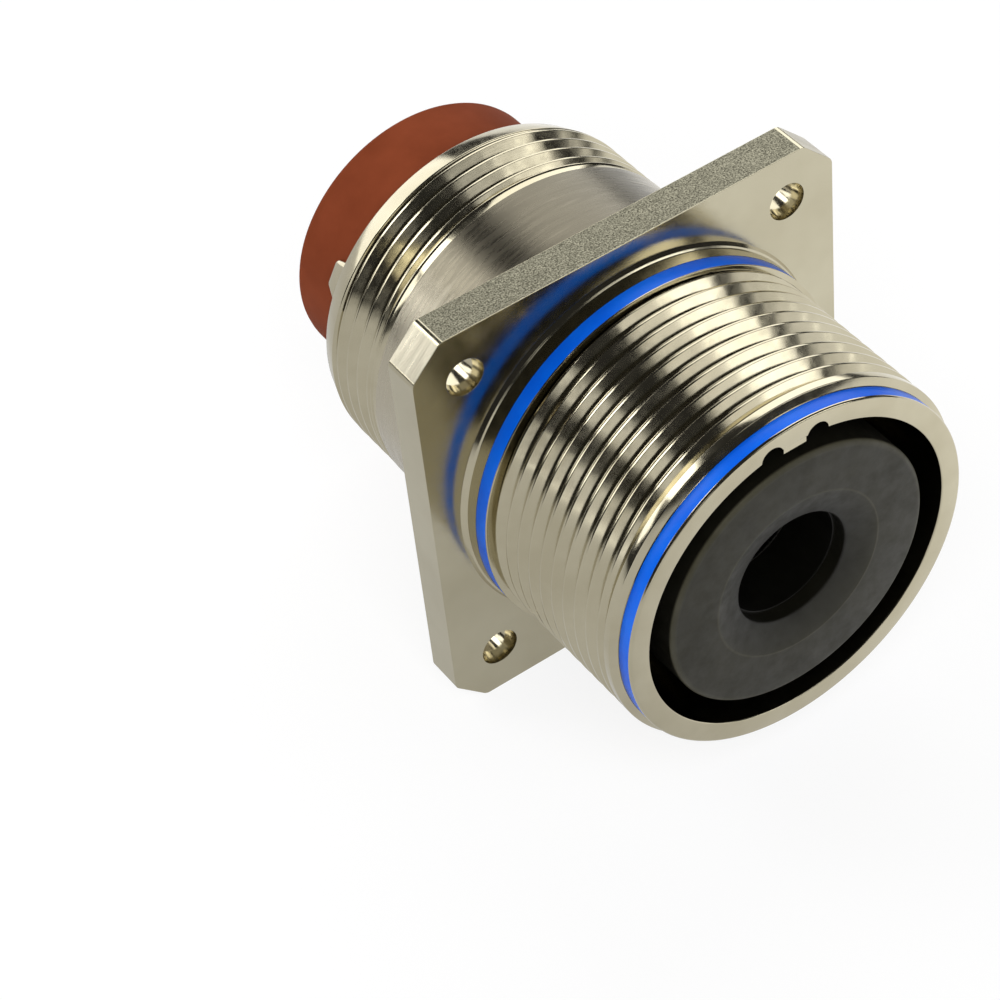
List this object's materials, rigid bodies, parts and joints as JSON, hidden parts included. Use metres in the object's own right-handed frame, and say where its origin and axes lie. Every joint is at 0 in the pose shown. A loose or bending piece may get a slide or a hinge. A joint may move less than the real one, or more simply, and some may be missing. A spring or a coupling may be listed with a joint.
{
  "type": "flanged receptacle connector",
  "caption": "Square-flanged circular receptacle for high-current power, with a threaded mating barrel, a key, a sealed wire entry and a seated crimp socket contact.",
  "frame": {"origin": "centre of the flange's front face, on the connector's axis, in the middle of the four bolt holes", "axes": "-Y points out of the mating end, +Y out of the wire end, +Z towards the key along the flange's upright edge"},
  "size_m": [0.0382, 0.0498, 0.0382],
  "materials": {
    "nickel_shell": "nickel plate with a warm grey cast, bright on the barrels and grained on the flange's edge",
    "band_blue": "smooth enamel",
    "insert_grey": "dull moulded face with a paler worn edge",
    "clip_steel": "spring temper",
    "grommet_red": "dull red-brown silicone",
    "contact_silver": "silver plate",
    "hood_steel": "dark brushed stainless steel",
    "marking_red": "thin paint"
  },
  "bodies": {
    "receptacle": {"shell": "nickel_shell", "front_band": "band_blue", "rear_band": "band_blue", "front_insert": "insert_grey", "rear_insert": "insert_grey", "contact_clip": "clip_steel", "grommet": "grommet_red"},
    "contact": {"contact_body": "contact_silver", "contact_hood": "hood_steel", "contact_marking_broad": "marking_red", "contact_marking_middle": "marking_red", "contact_marking_narrow": "marking_red"}
  },
  "joints": [
    {"name": "contact_withdrawal", "type": "slide", "parent": "receptacle", "child": "contact", "axis": [0, 1, 0], "range_m": [0, 0.046], "deforming": ["contact_clip"]}
  ]
}
